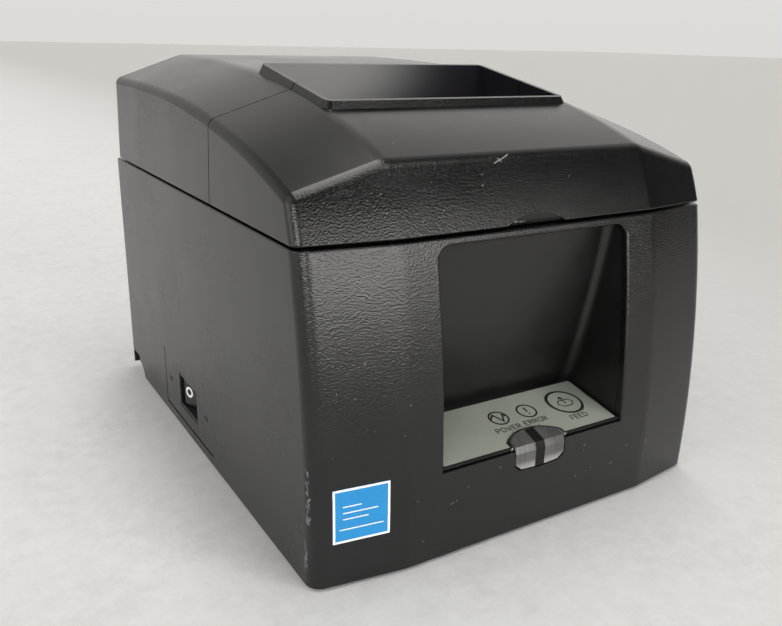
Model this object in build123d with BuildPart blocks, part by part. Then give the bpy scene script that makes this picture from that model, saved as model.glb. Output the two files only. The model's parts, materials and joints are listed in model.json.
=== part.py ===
from build123d import *
from math import acos, atan2, cos, degrees, hypot, pi, radians, sin, sqrt, tan
import os

# Receipt printer for 80 mm paper.  Millimetres, +X right, -Y front, +Z up.
# The origin is under the middle of the case, on the surface it stands on.

# ---- driving dimensions ---------------------------------------------------
case_width = 147.0
case_depth = 187.0
foot_drop = 1.0
case_height = 92.2
cover_height = 133.4
seam_gap = 0.7
wall = 2.5
split_y = -21.0
split_gap = 0.5

side_slope = 0.355
facet_start = 46.0
facet_lean = 0.137
crease_radius = 12.0
corner_radius = 4.5
rear_corner_radius = 1.5
seam_round = 0.5
front_bow_radius = 385.0
front_bow_height = 15.0

roll_radius = 41.5
roll_y = 42.0
roll_z = 60.0
platen_radius = 8.0
platen_y = -8.7
platen_z = 84.0
hinge_y = 89.8
hinge_z = 84.5

sheet = 1.2
board_thickness = 1.6
running_gap = 0.05
gear_module = 0.6

half_width = case_width / 2
front_y = -case_depth / 2
rear_y = case_depth / 2
case_top = foot_drop + case_height
cover_low = case_top + seam_gap
plateau_z = foot_drop + cover_height
bow_z = foot_drop + front_bow_height

os.makedirs("parts", exist_ok=True)


# ---- shared shapes --------------------------------------------------------
def block(x, y, z, mode=Mode.ADD):
    """A box between two limits on each axis."""
    with Locations((x[0], y[0], z[0])):
        Box(x[1] - x[0], y[1] - y[0], z[1] - z[0], align=(Align.MIN,) * 3, mode=mode)


def rod_x(x, y, z, radius, mode=Mode.ADD):
    """A round bar along X between two x values."""
    with Locations(Location(((x[0] + x[1]) / 2, y, z), (0, 90, 0))):
        Cylinder(radius, x[1] - x[0], mode=mode)


def rod_y(y, x, z, radius, mode=Mode.ADD):
    """A round bar along Y between two y values."""
    with Locations(Location((x, (y[0] + y[1]) / 2, z), (90, 0, 0))):
        Cylinder(radius, y[1] - y[0], mode=mode)


def post_z(x, y, z, radius, mode=Mode.ADD):
    """A round post along Z between two z values."""
    with Locations((x, y, (z[0] + z[1]) / 2)):
        Cylinder(radius, z[1] - z[0], mode=mode)


def both_sides(low, high):
    """The same span of x on the right and on the left of mid width."""
    return [(low, high), (-high, -low)]


def spread(middle, half):
    """Two limits the same distance either side of a middle value."""
    return (middle - half, middle + half)


def side_outline(points):
    """A face in the side view, from its corners."""
    with BuildSketch(Plane.YZ) as outline:
        Polygon(*points, align=None)
    return outline.sketch


def side_plate(outline, x, mode=Mode.ADD):
    """A side-view face made solid between two x values."""
    extrude(outline.moved(Location((x[0], 0, 0))), amount=x[1] - x[0], mode=mode)


def screws(spots, head_z, tip_z, head_radius, shank_radius, head_height):
    """Pan-head screws along Z: heads at head_z, shanks to tip_z."""
    away = 1 if head_z > tip_z else -1
    for x, y in spots:
        post_z(x, y, sorted((head_z, head_z + away * head_height)), head_radius)
        post_z(x, y, sorted((tip_z, head_z)), shank_radius)


def finish(piece, name):
    """Label a piece and write it out."""
    piece.part.label = name
    export_step(piece.part, f"parts/{name}.step")


# ---- gears ----------------------------------------------------------------
pressure_angle = radians(20)
tooth_share = 0.44
addendum = 0.9
dedendum = 1.2


def involute(angle):
    return tan(angle) - angle


def gear_outline(teeth, phase, y, z, bore):
    """Spur gear in the side view, with one tooth pointing along phase, in degrees."""
    pitch_radius = gear_module * teeth / 2
    base_radius = pitch_radius * cos(pressure_angle)
    radii = [
        pitch_radius - dedendum * gear_module,
        pitch_radius - 0.4 * gear_module,
        pitch_radius,
        pitch_radius + addendum * gear_module,
    ]
    half_tooth = tooth_share * pi / teeth
    flank = []
    for radius in radii:
        angle = acos(min(1, base_radius / radius))
        flank.append((radius, half_tooth + involute(pressure_angle) - involute(angle)))
    corners = []
    for tooth in range(teeth):
        middle = radians(phase) + 2 * pi * tooth / teeth
        for radius, half in flank:
            corners.append((y + radius * cos(middle - half), z + radius * sin(middle - half)))
        for radius, half in reversed(flank):
            corners.append((y + radius * cos(middle + half), z + radius * sin(middle + half)))
    with BuildSketch(Plane.YZ) as outline:
        Polygon(*corners, align=None)
        with Locations((y, z)):
            Circle(bore, mode=Mode.SUBTRACT)
    return outline.sketch


def mesh_phase(phase, teeth, mate_teeth, direction):
    """Phase that puts a mating gear's gap on this gear's tooth, along direction."""
    return direction + 180 + (direction - phase) * teeth / mate_teeth + 180 / mate_teeth


# ---- outer forms of the casing --------------------------------------------
def bow(z):
    """Front face of the case at mid width, bowed out in a large arc."""
    return front_y + front_bow_radius - sqrt(front_bow_radius**2 - (z - bow_z) ** 2)


def creased_form(profile, reach, skew_y, skew_z):
    """A side profile run straight across the middle, then skewed out to both sides."""
    run = reach - facet_start
    extrude(profile.moved(Location((-facet_start, 0, 0))), amount=2 * facet_start)
    for side in (1, -1):
        start = profile.moved(Location((side * facet_start, 0, 0)))
        direction = Vector(side, skew_y, skew_z)
        extrude(start, amount=run * direction.length, dir=direction)


def soften_creases(form):
    """Round the long lines where the middle meets the skewed sides."""

    def on_crease(edge):
        middle = edge.center()
        on_line = abs(abs(middle.X) - facet_start) < 0.3 and middle.Y < facet_start
        return on_line and middle.Z > cover_low and edge.length > 40

    fillet(form.edges().filter_by(on_crease), crease_radius)


def case_form(inset, low, high, round_radius):
    """Solid inside the case's outer faces, moved in by inset."""
    reach = half_width - inset
    middle = (low + high) / 2
    with BuildSketch(Plane.YZ) as side:
        with BuildLine():
            ThreePointArc(
                (bow(low) + inset, low), (bow(middle) + inset, middle), (bow(high) + inset, high)
            )
            Polyline(
                (bow(high) + inset, high),
                (rear_y - inset, high),
                (rear_y - inset, low),
                (bow(low) + inset, low),
            )
        make_face()
    with BuildPart() as form:
        creased_form(side.sketch, reach, facet_lean, 0)
        block((-reach, reach), (2 * front_y, rear_y - inset), (low, high), mode=Mode.INTERSECT)
        upright = form.edges().filter_by(lambda e: e.length > 0.9 * (high - low))
        corners = upright.filter_by(lambda e: abs(e.center().X) > reach - 0.1)
        fillet(corners.filter_by(lambda e: e.center().Y < 0), round_radius)
        upright = form.edges().filter_by(lambda e: e.length > 0.9 * (high - low))
        corners = upright.filter_by(lambda e: e.center().Y > rear_y - inset - 0.1)
        fillet(corners, min(round_radius, rear_corner_radius))
        upright = form.edges().filter_by(lambda e: e.length > 0.9 * (high - low))
        fillet(upright.filter_by(lambda e: abs(abs(e.center().X) - facet_start) < 0.1), crease_radius)
    return form.part


# Mid-width line of the top, and the covers' front and rear faces, in the side view.
top_line = [
    (-100.0, 103.4),
    (-73.0, 114.3),
    (-46.0, 122.4),
    (-21.0, 127.3),
    (8.0, 131.2),
    (50.0, 133.8),
    (100.0, plateau_z),
]
face_line = [(-86.6, 88.8), (-79.8, 107.0), (-65.0, 132.0)]
rear_foot_y = 90.4
rear_lean = 0.02
roof_skew = -0.2
side_draft = 0.035
front_edge_radius = 4.6
side_edge_radius = 3.0


def cover_form(inset, low):
    """Solid inside the covers' outer faces, moved in by inset, with its creases soft."""
    reach = half_width - inset
    ceiling = plateau_z + 10
    floor = cover_low - 60
    with BuildSketch(Plane.YZ) as roof:
        with BuildLine():
            Spline(*[(y, z - inset) for y, z in top_line])
            Polyline(
                (top_line[-1][0], plateau_z - inset),
                (top_line[-1][0], floor),
                (top_line[0][0], floor),
                (top_line[0][0], top_line[0][1] - inset),
            )
        make_face()
    with BuildSketch(Plane.YZ) as face:
        with BuildLine():
            ThreePointArc(*[(y + inset, z) for y, z in face_line])
            Polyline(
                (face_line[-1][0] + inset, face_line[-1][1]),
                (face_line[-1][0] + inset, ceiling),
                (top_line[-1][0], ceiling),
                (top_line[-1][0], face_line[0][1]),
                (face_line[0][0] + inset, face_line[0][1]),
            )
        make_face()
    rear = side_outline(
        [
            (top_line[0][0], low),
            (top_line[0][0], ceiling),
            (rear_foot_y - inset + rear_lean * (ceiling - cover_low), ceiling),
            (rear_foot_y - inset, low),
        ]
    )
    with BuildSketch(Plane.XZ) as drafted:
        high_reach = reach - side_draft * (ceiling - cover_low)
        Polygon((-reach, low), (reach, low), (high_reach, ceiling), (-high_reach, ceiling), align=None)
    with BuildPart() as roofed:
        creased_form(roof.sketch, reach, roof_skew, -side_slope)
        soften_creases(roofed)
    with BuildPart() as form:
        creased_form(face.sketch, reach, facet_lean, 0)
        soften_creases(form)
        add(roofed.part, mode=Mode.INTERSECT)
        side_plate(rear, (-reach, reach), mode=Mode.INTERSECT)
        extrude(drafted.sketch, amount=rear_y, both=True, mode=Mode.INTERSECT)
    return form.part


def rounded_cover_form():
    """The covers' outer form with its front, side and rear edges rounded."""
    above_seam = cover_low + 0.5
    sharp_form = cover_form(0, cover_low)
    with BuildPart() as form:
        add(sharp_form)
        front = form.edges().filter_by(
            lambda e: e.center().Y < -70
            and e.center().Z > cover_low + 4
            and abs(e.center().X) < half_width - 0.5
        )
        fillet(front, front_edge_radius)
        sides = form.edges().filter_by(
            lambda e: abs(e.center().X) > half_width - 2 and e.center().Z > above_seam
        )
        fillet(sides, side_edge_radius)
        rear = form.edges().filter_by(
            lambda e: e.center().Y > rear_foot_y + 0.2 and e.center().Z > above_seam
        )
        fillet(rear, side_edge_radius)
        fillet(form.edges().group_by(Axis.Z)[0], seam_round)
    return form.part


def rounded_case_form():
    """The case's outer form with the edge under the seam rounded."""
    sharp_form = case_form(0, foot_drop, case_top, corner_radius)
    with BuildPart() as form:
        add(sharp_form)
        fillet(form.edges().group_by(Axis.Z)[-1], seam_round)
    return form.part


case_outer = rounded_case_form()
case_inner = case_form(wall, foot_drop - 1, case_top + 1, corner_radius - wall)
cover_outer = rounded_cover_form()
cover_inner = cover_form(wall, cover_low - 1)

# ---- front window, control panel and light guides --------------------------
window_half = 34.4
window_low = 28.1
window_high = 91.0
window_radius = 4.0
window_round = 0.7
panel_front = (-93.0, 29.1)
panel_rear = (-68.9, 33.3)
panel_thickness = 0.8
panel_inset = 0.5
panel_angle = atan2(panel_rear[1] - panel_front[1], panel_rear[0] - panel_front[0])
panel_run = hypot(panel_rear[0] - panel_front[0], panel_rear[1] - panel_front[1])
panel_plane = Plane(
    origin=(0, *panel_front), x_dir=(1, 0, 0), z_dir=(0, -sin(panel_angle), cos(panel_angle))
)
guide_middle = 1.0
guide_half = 9.4
arch_side = 3.0
arch_depth = 6.0
guide_low = 21.3
guide_corner = 2.3
divider_half = 1.7
button_spot = (22.7, 13.9)
button_radius = 6.2
button_hole = 6.5
button_thickness = 1.6
button_proud = 0.2
button_travel = 0.6
led_spots = [(guide_middle - 5.2, 5.2), (guide_middle + 5.2, 5.2)]


def arch(margin):
    """Plan of the notch that the light guides fill, grown by margin, on the panel plane."""
    half = guide_half + margin
    with BuildSketch(panel_plane) as outline:
        with BuildLine():
            ThreePointArc(
                (guide_middle - half, arch_side),
                (guide_middle, arch_depth + margin),
                (guide_middle + half, arch_side),
            )
            Polyline(
                (guide_middle + half, arch_side),
                (guide_middle + half, -2),
                (guide_middle - half, -2),
                (guide_middle - half, arch_side),
            )
        make_face()
    return outline.sketch


def guide_front(margin):
    """Front view of the light guides as a pair, grown by margin."""
    half = guide_half + margin
    low = guide_low - margin
    with BuildSketch(Plane.XZ) as outline:
        Polygon(
            (guide_middle - half, low + guide_corner),
            (guide_middle - half + guide_corner, low + 0.5),
            (guide_middle, low),
            (guide_middle + half - guide_corner, low + 0.5),
            (guide_middle + half, low + guide_corner),
            (guide_middle + half, window_low + 5),
            (guide_middle - half, window_low + 5),
            align=None,
        )
    return outline.sketch


with BuildSketch(Plane.XZ) as window_view:
    with Locations((0, (window_low + window_high) / 2)):
        Rectangle(2 * window_half, window_high - window_low)
    fillet(window_view.vertices().group_by(Axis.Y)[-1], window_radius)

# Slant of the recess's back, low to high, in the side view.
recess_back = [(-65.2, 30.0), (-69.6, 43.0), (-74.6, 63.5), (-79.3, window_high)]
recess_wall = 1.5
recess_corner = 3.0
recess_front_inset = wall + 0.05


def recess_side(grow, front_inset):
    """Side view of the recess behind the window, grown by a wall thickness."""
    low = window_low + 0.1
    high = window_high + grow
    middle = (low + high) / 2
    back = [(y + grow, z) for y, z in recess_back]
    with BuildSketch(Plane.YZ) as outline:
        with BuildLine():
            Spline(*back[:-1], (back[-1][0], high))
            Polyline((back[-1][0], high), (bow(high) + front_inset, high))
            ThreePointArc(
                (bow(high) + front_inset, high),
                (bow(middle) + front_inset, middle),
                (bow(low) + front_inset, low),
            )
            Polyline((bow(low) + front_inset, low), back[0])
        make_face()
    return outline.sketch


with BuildPart() as recess_cutter:
    side_plate(recess_side(0, recess_front_inset - 5), (-window_half, window_half))
    back_corners = recess_cutter.edges().filter_by(
        lambda e: abs(e.center().X) > window_half - 0.1 and e.center().Y > -78 and e.length > 40
    )
    fillet(back_corners, recess_corner)
recess_space = recess_cutter.part

with BuildPart() as front_recess:
    outer = window_half + recess_wall
    side_plate(recess_side(recess_wall, recess_front_inset), (-outer, outer))
    add(recess_space, mode=Mode.SUBTRACT)
    floor_gap = panel_thickness + 0.02
    with BuildSketch(panel_plane.offset(-floor_gap)):
        with Locations((0, 2.6 + (panel_run + 1) / 2)):
            Rectangle(2 * outer, panel_run + 1)
    extrude(amount=-recess_wall)
    side_plate(
        side_outline([(-120, 0), (-120, 60), (bow(45) + recess_front_inset, 60), (-90.9, 0)]),
        (-outer, outer),
        mode=Mode.SUBTRACT,
    )
    with BuildSketch(panel_plane.offset(-floor_gap)):
        with Locations(button_spot):
            Circle(button_hole)
    extrude(amount=-2 * recess_wall, mode=Mode.SUBTRACT)
    extrude(arch(0.7), amount=6, both=True, mode=Mode.SUBTRACT)

with BuildPart() as control_panel:
    with BuildSketch(panel_plane):
        with Locations((0, (panel_run + panel_inset) / 2)):
            panel_edge = Rectangle(2 * (window_half - panel_inset), panel_run - panel_inset)
        fillet(panel_edge.vertices().group_by(Axis.Y)[-1], recess_corner)
        with Locations(button_spot):
            Circle(button_hole, mode=Mode.SUBTRACT)
    extrude(amount=-panel_thickness)
    extrude(arch(0.7), amount=2, both=True, mode=Mode.SUBTRACT)

# Side view of one light guide: lit at its inner end, seen from above and in front.
guide_side = side_outline(
    [
        (front_y + 0.1, guide_low),
        (front_y + 0.1, window_low - 1.0),
        (front_y + 0.9, window_low + 1.0),
        (-87.3, window_low + 2.8),
        (-87.3, window_low - 0.4),
        (-90.0, window_low - 1.6),
        (-90.8, window_low - 3.2),
        (front_y + 1.6, guide_low),
    ]
)
with BuildPart() as light_pair:
    side_plate(guide_side, (guide_middle - guide_half, guide_middle + guide_half))
    extrude(arch(0), amount=12, both=True, mode=Mode.INTERSECT)
    extrude(guide_front(0), amount=100, mode=Mode.INTERSECT)

with BuildPart() as power_light_guide:
    add(light_pair.part)
    block(
        (guide_middle - 20, guide_middle - divider_half - 0.1), (-100, -80), (0, 50), Mode.INTERSECT
    )

with BuildPart() as error_light_guide:
    add(light_pair.part)
    block(
        (guide_middle + divider_half + 0.1, guide_middle + 20), (-100, -80), (0, 50), Mode.INTERSECT
    )

with BuildPart() as light_divider:
    add(light_pair.part)
    block(
        (guide_middle - divider_half, guide_middle + divider_half), (-100, -80), (0, 50), Mode.INTERSECT
    )

with BuildPart() as feed_button:
    with BuildSketch(panel_plane.offset(button_proud)):
        with Locations(button_spot):
            Circle(button_radius)
    extrude(amount=-button_thickness)
    cap_edge = feed_button.edges().sort_by(Axis.Z)[-1]
    fillet(cap_edge, 0.3)

# ---- label on the front ----------------------------------------------------
label_x = (-67.7, -51.4)
label_z = (foot_drop + 13.5, foot_drop + 29.6)
label_thickness = 0.15

label_skin = case_form(-label_thickness, foot_drop, case_top, corner_radius)
with BuildPart() as front_label:
    add(label_skin)
    add(case_outer, mode=Mode.SUBTRACT)
    block(label_x, (2 * front_y, 0), label_z, mode=Mode.INTERSECT)

# ---- power switch ----------------------------------------------------------
switch_y = 12.9
switch_z = foot_drop + 15.6
switch_half_y = 9.8
switch_half_z = 6.75
switch_back_x = -57.0
switch_face_x = -half_width + 0.2
rocker_pivot_x = -66.5
rocker_half_y = 8.2
rocker_half_z = 5.3
rocker_swing = 14.0
rocker_tilt = 9.0
rocker_dip = 3.7
cavity_half_y = 9.1
cavity_half_z = 5.7
rocker_pin = 1.2
mark_spots = [33.5, -6.5]
mark_depth = 0.35

with BuildPart() as switch_body:
    block(
        (switch_face_x, switch_back_x),
        (switch_y - switch_half_y + 0.15, switch_y + switch_half_y - 0.15),
        (switch_z - switch_half_z + 0.15, switch_z + switch_half_z - 0.15),
    )
    block(
        (switch_face_x - 1, -61.5),
        (switch_y - cavity_half_y, switch_y + cavity_half_y),
        (switch_z - cavity_half_z, switch_z + cavity_half_z),
        mode=Mode.SUBTRACT,
    )
    post_z(
        rocker_pivot_x,
        switch_y,
        (switch_z - switch_half_z, switch_z + switch_half_z),
        rocker_pin + running_gap,
        mode=Mode.SUBTRACT,
    )

rocker_turn = radians(rocker_swing / 2)
rocker_plane = Plane(
    origin=(rocker_pivot_x, switch_y, switch_z - rocker_half_z),
    x_dir=(cos(rocker_turn), sin(rocker_turn), 0),
    z_dir=(0, 0, 1),
)
with BuildPart() as power_rocker:
    with BuildSketch(rocker_plane):
        rocker_rise = rocker_dip + rocker_half_y * tan(radians(rocker_tilt))
        Polygon(
            (-rocker_dip, 0),
            (-rocker_rise, rocker_half_y),
            (-1.5, rocker_half_y),
            (1.9, 2.2),
            (1.9, -2.2),
            (-1.5, -rocker_half_y),
            (-rocker_rise, -rocker_half_y),
            align=None,
        )
    extrude(amount=2 * rocker_half_z)
    post_z(
        rocker_pivot_x,
        switch_y,
        (switch_z - switch_half_z + 0.3, switch_z + switch_half_z - 0.3),
        rocker_pin,
    )

# ---- main case -------------------------------------------------------------
case_posts = [(side * 66.8, y) for side in (1, -1) for y in (-70.0, 74.0)]
post_radius = 4.3
screw_radius = 1.25
plate_low = 2.0
plate_top = plate_low + sheet
rear_cut_y = 82.0
rear_cut_z = foot_drop + 7.7
tab_width = 2.9
tab_low = 3.0
port_half = 52.0
port_high = 26.2
hinge_arm = (51.0, 59.0)
hinge_ears = [(46.0, 50.4), (59.6, 64.0)]
hinge_pin = 1.5
knuckle_radius = 3.2
lever_notch = (-41.0, -26.0)
lever_notch_low = 80.0
groove_depth = 0.5
groove_width = 0.7
switch_field = [(40.6, 27.2), (40.6, 4.6), (-11.9, 4.6)]

with BuildSketch(Plane.YZ) as rear_cut:
    with BuildLine():
        RadiusArc((rear_cut_y - 7, foot_drop), (rear_cut_y, rear_cut_z - 2.5), 7)
        Polyline(
            (rear_cut_y, rear_cut_z - 2.5),
            (rear_cut_y, rear_cut_z),
            (rear_y - wall, rear_cut_z),
            (rear_y - wall, -5),
            (rear_cut_y - 7, -5),
            (rear_cut_y - 7, foot_drop),
        )
    make_face()


def on_window_rim(edge):
    """Picks the window's outer edges on the front face, apart from its lower one."""
    spot = edge.center()
    inside = abs(spot.X) < window_half + 0.1 and window_low + 1 < spot.Z < window_high + 0.1
    return inside and abs(spot.Y - bow(spot.Z)) < 0.4 and abs(spot.X) > guide_half + 1


with BuildPart() as main_case:
    add(case_outer)
    add(case_inner, mode=Mode.SUBTRACT)
    for x, y in case_posts:
        post_z(x, y, (plate_top + 0.05, plate_top + 20), post_radius)
        post_z(x, y, (plate_top, plate_top + 12), screw_radius + running_gap, mode=Mode.SUBTRACT)
    extrude(window_view.sketch.moved(Location((0, -80, 0))), amount=30, mode=Mode.SUBTRACT)
    extrude(guide_front(0.4).moved(Location((0, -85, 0))), amount=30, mode=Mode.SUBTRACT)
    rim_edges = main_case.edges().filter_by(on_window_rim)
    fillet(rim_edges, window_round)
    block(
        (-half_width - 5, -half_width + wall + 1),
        (switch_y - switch_half_y, switch_y + switch_half_y),
        (switch_z - switch_half_z, switch_z + switch_half_z),
        mode=Mode.SUBTRACT,
    )
    for y in mark_spots:
        for step in (-1.3, 0, 1.3):
            block(
                (-half_width - 5, -half_width + mark_depth),
                (y + step - 0.3, y + step + 0.3),
                (switch_z - 0.8, switch_z + 0.8),
                mode=Mode.SUBTRACT,
            )
    for start, end in zip(switch_field, switch_field[1:]):
        block(
            (-half_width - 5, -half_width + groove_depth),
            (min(start[0], end[0]) - groove_width / 2, max(start[0], end[0]) + groove_width / 2),
            (min(start[1], end[1]) - groove_width / 2, max(start[1], end[1]) + groove_width / 2),
            mode=Mode.SUBTRACT,
        )
    side_plate(rear_cut.sketch, (-half_width - 5, half_width + 5), mode=Mode.SUBTRACT)
    block(
        (-half_width + tab_width, half_width - tab_width),
        (rear_y - wall - 1, rear_y + 5),
        (0, rear_cut_z),
        mode=Mode.SUBTRACT,
    )
    past_rear_wall = (rear_y - wall - 1, rear_y + 5)
    block((-half_width - 5, half_width + 5), past_rear_wall, (0, tab_low), mode=Mode.SUBTRACT)
    block(
        (-port_half, port_half), (rear_y - wall - 1, rear_y + 5), (0, port_high), mode=Mode.SUBTRACT
    )
    for x in both_sides(hinge_arm[0] - 0.8, hinge_arm[1] + 0.8):
        block(
            x,
            (rear_y - wall - 1, rear_y + 5),
            (hinge_z - knuckle_radius - 0.6, case_top + 1),
            mode=Mode.SUBTRACT,
        )
    for ear in hinge_ears:
        for x in both_sides(*ear):
            block(
                x,
                (hinge_y - knuckle_radius, rear_y - wall + 0.1),
                (hinge_z - knuckle_radius, hinge_z + knuckle_radius),
            )
            rod_x((x[0] - 1, x[1] + 1), hinge_y, hinge_z, hinge_pin, mode=Mode.SUBTRACT)
    block(
        (half_width - wall - 1, half_width + 5),
        lever_notch,
        (lever_notch_low, case_top + 1),
        mode=Mode.SUBTRACT,
    )

with BuildPart() as hinge_pins:
    for x in both_sides(hinge_ears[0][0] + 0.3, hinge_ears[1][1] - 0.3):
        rod_x(x, hinge_y, hinge_z, hinge_pin)

# ---- base ------------------------------------------------------------------
foot_spots = [(side * 56.0, y) for side in (1, -1) for y in (-76.0, 66.0)]
foot_radius = 7.0
plate_half = half_width - wall - 0.2
plate_rear_y = 79.6
frame_screw_spots = [(side * 53.0, y) for side in (1, -1) for y in (-52.0, -8.0)]
spacer_spots = [(side * 41.5, y) for side in (1, -1) for y in (-32.0, 60.0)]
spacer_top = 5.0

with BuildPart() as bottom_plate:
    with BuildSketch(Plane.XY.offset(plate_low)):
        Polygon(
            (-facet_start, -90.4),
            (facet_start, -90.4),
            (plate_half - 3, -87.4),
            (plate_half, -84.4),
            (plate_half, plate_rear_y),
            (-plate_half, plate_rear_y),
            (-plate_half, -84.4),
            (-plate_half + 3, -87.4),
            align=None,
        )
        with Locations(*case_posts):
            Circle(screw_radius + 0.3, mode=Mode.SUBTRACT)
        with Locations(*frame_screw_spots, *spacer_spots):
            Circle(screw_radius + running_gap, mode=Mode.SUBTRACT)
    extrude(amount=sheet)

with BuildPart() as rubber_feet:
    for x, y in foot_spots:
        post_z(x, y, (0, plate_low), foot_radius)
    fillet(rubber_feet.edges().group_by(Axis.Z)[0], 0.5)

with BuildPart() as base_screws:
    screws(case_posts, plate_low, plate_top + 10, 2.8, screw_radius, 0.95)

# ---- circuit boards and connectors ------------------------------------------
board_top = spacer_top + board_thickness
board_half = 45.0
port_face_y = 80.0
jack_half = 6.5
data_half = 6.0
inlet_x = -32.0
jack_x = 0.0
data_x = 28.0
port_low = board_top + 0.05
inlet_high = port_low + 12.4
jack_high = port_low + 12.6
data_high = port_low + 10.8
inlet_z = (port_low + inlet_high) / 2
inlet_radius = 4.6
port_proud = 1.0

with BuildPart() as board_spacers:
    for x, y in spacer_spots:
        post_z(x, y, (plate_top, spacer_top), 3.2)
        post_z(x, y, (plate_top, spacer_top), screw_radius + running_gap, mode=Mode.SUBTRACT)

with BuildPart() as main_board:
    block((-board_half, board_half), (-38, port_face_y - 0.3), (spacer_top, board_top))
    for x, y in spacer_spots:
        post_z(x, y, (spacer_top, board_top), screw_radius + running_gap, mode=Mode.SUBTRACT)

with BuildPart() as board_screws:
    screws(spacer_spots, board_top, plate_low + 0.2, 2.6, screw_radius, 1.4)

with BuildPart() as board_chips:
    for x, y, side, height in ((-12, -8, 20, 1.6), (14, -6, 14, 1.4), (-4, 36, 16, 1.6), (22, 30, 9, 1.2)):
        with Locations((x, y, board_top)):
            Box(side, side, height, align=(Align.CENTER, Align.CENTER, Align.MIN))

with BuildPart() as board_capacitors:
    for x, y, radius, height in ((-36, -20, 4, 11), (-26, -30, 4, 11), (34, -22, 5, 14), (35, 4, 4, 7)):
        post_z(x, y, (board_top, board_top + height), radius)

with BuildPart() as power_inlet:
    block((inlet_x - 7, inlet_x + 7), (66, port_face_y + port_proud), (port_low, inlet_high))
    rod_y((port_face_y - 9, port_face_y + 5), inlet_x, inlet_z, inlet_radius, mode=Mode.SUBTRACT)
    for angle in (90, 210, 330):
        rod_y(
            (port_face_y - 9.5, port_face_y - 4),
            inlet_x + 2.4 * cos(radians(angle)),
            inlet_z + 2.4 * sin(radians(angle)),
            0.5,
        )

with BuildPart() as drawer_jack:
    jack_cavity = (port_face_y - 10, port_face_y + 5)
    block(spread(jack_x, jack_half), (65, port_face_y + port_proud), (port_low, jack_high))
    block(spread(jack_x, jack_half - 1.5), jack_cavity, (port_low + 3.0, jack_high - 2.4), mode=Mode.SUBTRACT)
    block(spread(jack_x, 1.6), jack_cavity, (port_low + 1.6, port_low + 3.1), mode=Mode.SUBTRACT)

with BuildPart() as data_connector:
    data_cavity = (port_face_y - 9, port_face_y + 5)
    block(spread(data_x, data_half), (64, port_face_y + port_proud), (port_low, data_high))
    block(spread(data_x, data_half - 1.6), data_cavity, (port_low + 1.5, data_high - 1.5), mode=Mode.SUBTRACT)
    block(spread(data_x, 2.8), (port_face_y - 9.5, port_face_y - 4.2), (port_low + 3.8, data_high - 3.8))

port_clear = 0.2
plate_back = port_face_y + sheet
plate_screw_x = 45.0
plate_screw_z = 16.0

with BuildPart() as interface_plate:
    flange_end = rear_y - wall - 0.1
    block((-port_half, port_half), (port_face_y, plate_back), (plate_top, port_high))
    block((-port_half, port_half), (port_face_y, flange_end), (port_high - sheet, port_high))
    for x in both_sides(port_half - sheet, port_half):
        block(x, (port_face_y, flange_end), (rear_cut_z + port_clear, port_high))
    for x, half, high in ((inlet_x, 7.0, inlet_high), (jack_x, jack_half, jack_high), (data_x, data_half, data_high)):
        block(
            spread(x, half + port_clear),
            (port_face_y - 1, plate_back + 1),
            (port_low - port_clear, high + port_clear),
            mode=Mode.SUBTRACT,
        )
    for x in (-plate_screw_x, plate_screw_x):
        rod_y(
            (port_face_y - 1, plate_back + 1),
            x,
            plate_screw_z,
            screw_radius + running_gap,
            mode=Mode.SUBTRACT,
        )

with BuildPart() as interface_screws:
    for x in (-plate_screw_x, plate_screw_x):
        rod_y((plate_back, plate_back + 1.6), x, plate_screw_z, 2.6)
        rod_y((port_face_y - 5, plate_back), x, plate_screw_z, screw_radius)
        rod_y((plate_back + 0.8, plate_back + 2), x, plate_screw_z, 0.9, mode=Mode.SUBTRACT)

panel_board_low = -6.0
with BuildPart() as panel_board:
    with BuildSketch(panel_plane.offset(panel_board_low)):
        with Locations((0, 12.5)):
            Rectangle(60, 19)
    extrude(amount=-board_thickness)

with BuildPart() as status_leds:
    with BuildSketch(panel_plane.offset(panel_board_low)):
        with Locations(*led_spots):
            Rectangle(2.0, 1.6)
    extrude(amount=1.2)

switch_stem_top = button_proud - button_thickness - button_travel - 0.05
with BuildPart() as feed_switch:
    with BuildSketch(panel_plane.offset(panel_board_low)):
        with Locations(button_spot):
            Rectangle(6, 6)
    extrude(amount=2.6)
    with BuildSketch(panel_plane.offset(panel_board_low)):
        with Locations(button_spot):
            Circle(1.7)
    extrude(amount=switch_stem_top - panel_board_low)

# ---- print mechanism --------------------------------------------------------
frame_x = (47.0, 48.2)
frame_top = 97.0
platen_cut_y = -15.5
platen_cut_z = 78.0
platen_half = 40.0
shaft_radius = 3.0
gear_x = (49.2, 54.2)
platen_teeth = 20
idler_teeth = 40
motor_teeth = 14
idler_y = platen_y
idler_z = platen_z - gear_module * (platen_teeth + idler_teeth) / 2 - running_gap
motor_side = 36.0
motor_reach = gear_module * (idler_teeth + motor_teeth) / 2 + running_gap
motor_y = idler_y - 14.0
motor_z = idler_z - sqrt(motor_reach**2 - 14.0**2)
motor_direction = degrees(atan2(motor_z - idler_z, motor_y - idler_y))
stud_radius = 2.0
latch_y = -30.0
latch_z = 79.8
latch_radius = 2.3
head_face_y = platen_y - platen_radius - 0.35
head_low = 77.0
head_high = 91.5
sink_back_y = -24.0
spring_plate_y = -34.8
spring_spots = [-22.0, 22.0]
head_mid_z = 85.7

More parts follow.
